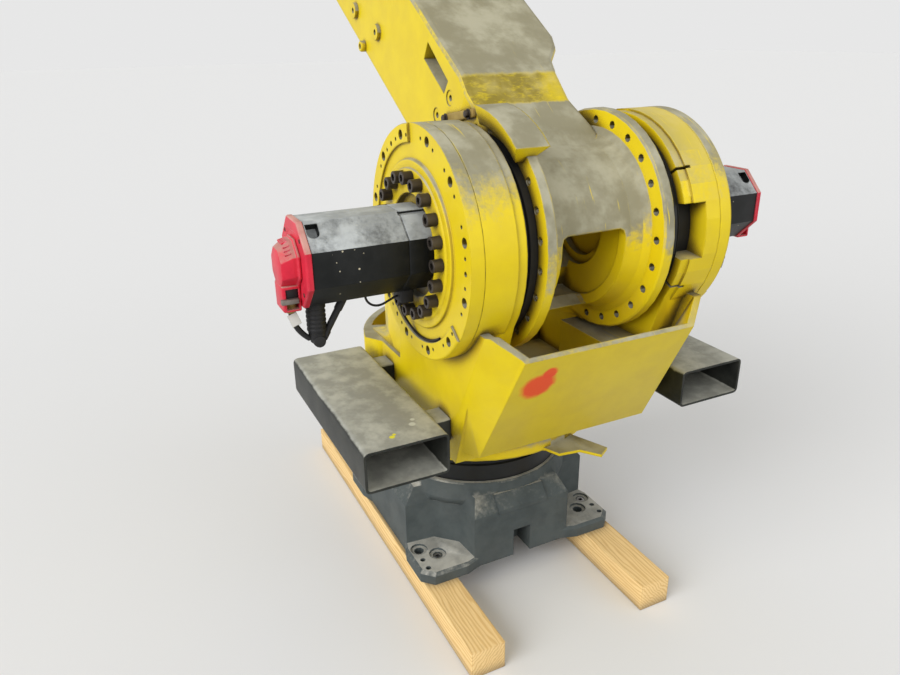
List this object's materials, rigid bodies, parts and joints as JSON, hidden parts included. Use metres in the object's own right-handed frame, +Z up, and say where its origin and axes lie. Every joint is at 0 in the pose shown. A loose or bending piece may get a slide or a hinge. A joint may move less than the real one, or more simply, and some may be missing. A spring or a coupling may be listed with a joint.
{
  "type": "industrial robot arm",
  "caption": "Heavy floor-standing industrial robot arm with a slewing carriage, twin shoulder drives, fork pockets and a reaching forearm, standing on two timbers.",
  "frame": {"origin": "slewing axis at the underside of the base casting, which is the face that bolts to a floor", "axes": "+Z up, +X toward the front of the robot, +Y toward its left hand side"},
  "size_m": [1.8566, 1.3012, 2.125],
  "materials": {
    "pine": "sawn softwood",
    "base_paint": "satin paint over casting, dusty",
    "black_rubber": "matte",
    "black_paint": "semi-gloss, dusty on top",
    "red_paint": "semi-gloss, dusty on top",
    "tube_steel": "mill scale and grime",
    "bare_steel": "machined, oiled",
    "yellow_paint": "semi-gloss enamel, dusty and scuffed on top"
  },
  "bodies": {
    "base": {"timber_right": "pine", "timber_left": "pine", "base_casting": "base_paint", "slew_ring": "black_paint", "connector_box": "base_paint"},
    "carriage": {"carriage_casting": "yellow_paint", "slew_motor": "black_paint", "slew_motor_cap": "red_paint", "housing_cap_right": "yellow_paint", "reducer_right": "bare_steel", "seal_right": "black_rubber", "motor_right": "black_paint", "end_plate_right": "red_paint", "encoder_cap_right": "red_paint", "connector_right": "red_paint", "plug_right": "black_rubber", "fork_tube_right": "tube_steel", "fork_spacer_right_rear": "tube_steel", "fork_spacer_right_front": "tube_steel", "housing_cap_left": "yellow_paint", "reducer_left": "bare_steel", "seal_left": "black_rubber", "motor_left": "black_paint", "end_plate_left": "red_paint", "encoder_cap_left": "red_paint", "connector_left": "red_paint", "plug_left": "black_rubber", "fork_tube_left": "tube_steel", "fork_spacer_left_rear": "tube_steel", "fork_spacer_left_front": "tube_steel"},
    "arm": {"arm_casting": "yellow_paint", "elbow_casting": "yellow_paint", "forearm_tube": "yellow_paint", "wrist_motor_right": "black_paint", "wrist_motor_middle": "black_paint", "wrist_motor_left": "black_paint", "elbow_motor": "black_paint", "elbow_motor_cap": "red_paint", "elbow_cover": "yellow_paint", "wrist_neck": "yellow_paint", "wrist_hinge": "yellow_paint", "tool_flange": "bare_steel"}
  },
  "joints": [
    {"name": "slewing", "type": "hinge", "parent": "base", "child": "carriage", "pos_m": [0, 0, 0.355], "axis": [0, 0, 1], "range_deg": [-180, 180]},
    {"name": "shoulder", "type": "hinge", "parent": "carriage", "child": "arm", "pos_m": [0.36, 0, 0.98], "axis": [0, 1, 0], "range_deg": [-3, 130]}
  ]
}
